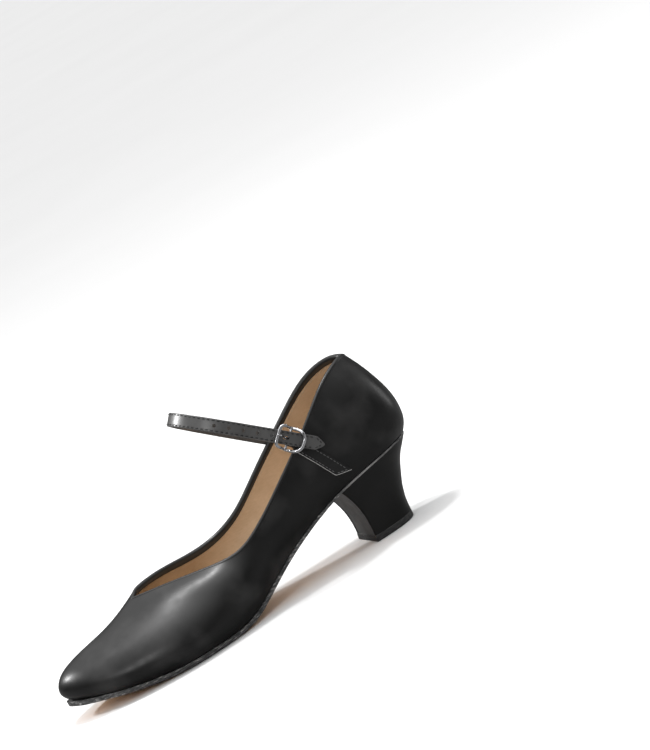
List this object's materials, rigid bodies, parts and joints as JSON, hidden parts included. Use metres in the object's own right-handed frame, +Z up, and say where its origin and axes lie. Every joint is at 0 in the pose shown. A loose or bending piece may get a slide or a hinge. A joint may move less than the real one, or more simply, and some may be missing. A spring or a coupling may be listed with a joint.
{
  "type": "heeled strap dance shoe",
  "caption": "Left black leather dance pump with a V throat, covered block heel, natural leather sole and a buckled ankle strap.",
  "frame": {"origin": "centre of the heel top piece's contact face, on the floor", "axes": "+Z up, -Y towards the toe, +X towards the outer side of the foot, where the buckle is"},
  "size_m": [0.0837, 0.2628, 0.1292],
  "materials": {
    "black_leather": "smooth black leather, soft shine",
    "strap_leather": "smooth black strap leather, stitched",
    "lining": "natural lining leather",
    "cloth": "cotton backing cloth",
    "stiffener": "pressed fibre board",
    "insole_board": "fibre board",
    "filler": "ground cork sheet",
    "foam": "soft latex foam",
    "spring_steel": "plain spring steel",
    "steel": "plain steel",
    "sole_leather": "natural sole leather, scored forepart, black edge",
    "heel_core": "hardwood",
    "heel_leather": "black leather wrapped over the heel",
    "top_piece_leather": "natural leather tread, black edge",
    "chrome": "bright plated"
  },
  "bodies": {
    "shoe": {"upper_leather": "black_leather", "upper_interlining": "cloth", "upper_lining": "lining", "topline_binding": "black_leather", "toe_puff": "stiffener", "heel_counter": "stiffener", "insole_board": "insole_board", "shank_spring": "spring_steel", "shank_rivets": "steel", "bottom_filler": "filler", "seat_filler": "filler", "heel_pad": "foam", "sock_lining": "lining", "outsole": "sole_leather", "heel_block": "heel_core", "heel_cover": "heel_leather", "heel_breast_cover": "heel_leather", "heel_top_piece": "top_piece_leather", "top_piece_nails": "steel", "heel_screw": "steel", "heel_nails": "steel", "strap_anchor": "strap_leather", "buckle_tab": "strap_leather"},
    "strap": {"ankle_strap": "strap_leather", "strap_lining": "strap_leather"},
    "buckle": {"buckle_frame": "chrome", "buckle_bar": "chrome"},
    "prong": {"buckle_prong": "chrome"}
  },
  "joints": [
    {"name": "strap_swing", "type": "hinge", "parent": "shoe", "child": "strap", "pos_m": [-0.0307, -0.03353, 0.08122], "axis": [0, -0.6428, -0.766], "range_deg": [0, 110], "deforming": ["ankle_strap", "strap_lining"]},
    {"name": "buckle_swing", "type": "hinge", "parent": "shoe", "child": "buckle", "pos_m": [0.0309, -0.0374, 0.084], "axis": [0, 0.7431, 0.6691], "range_deg": [0, 20]},
    {"name": "prong_swing", "type": "hinge", "parent": "buckle", "child": "prong", "pos_m": [0.0309, -0.0374, 0.084], "axis": [0, 0.7431, 0.6691], "range_deg": [0, 80]}
  ],
  "couplings": [
    {"joint": "buckle_swing", "follows": "strap_swing", "ratio": 0.18182},
    {"joint": "prong_swing", "follows": "strap_swing", "ratio": 0.72727}
  ]
}
